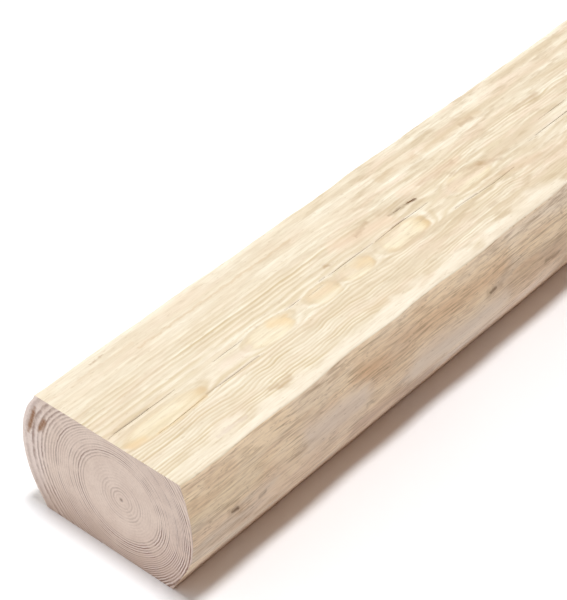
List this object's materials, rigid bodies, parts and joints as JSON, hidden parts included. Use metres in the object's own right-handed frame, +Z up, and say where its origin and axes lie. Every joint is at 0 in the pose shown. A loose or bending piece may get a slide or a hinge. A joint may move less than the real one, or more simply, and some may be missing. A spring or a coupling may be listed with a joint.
{
  "type": "landscape timber",
  "caption": "Long peeled-log timber sawn flat above and below, with rounded wany sides and square-cut ends, for garden edging, steps and low retaining walls.",
  "frame": {"origin": "middle of the lower sawn face, at the level of the floor it lies on", "axes": "+X along the timber from its butt end to its top end, +Y across it, +Z up through its thickness"},
  "size_m": [2.438, 0.123, 0.076],
  "materials": {
    "wood": "dry sawn softwood, unplaned, with peeled round sides"
  },
  "bodies": {
    "root": {"timber": "wood"}
  },
  "joints": []
}
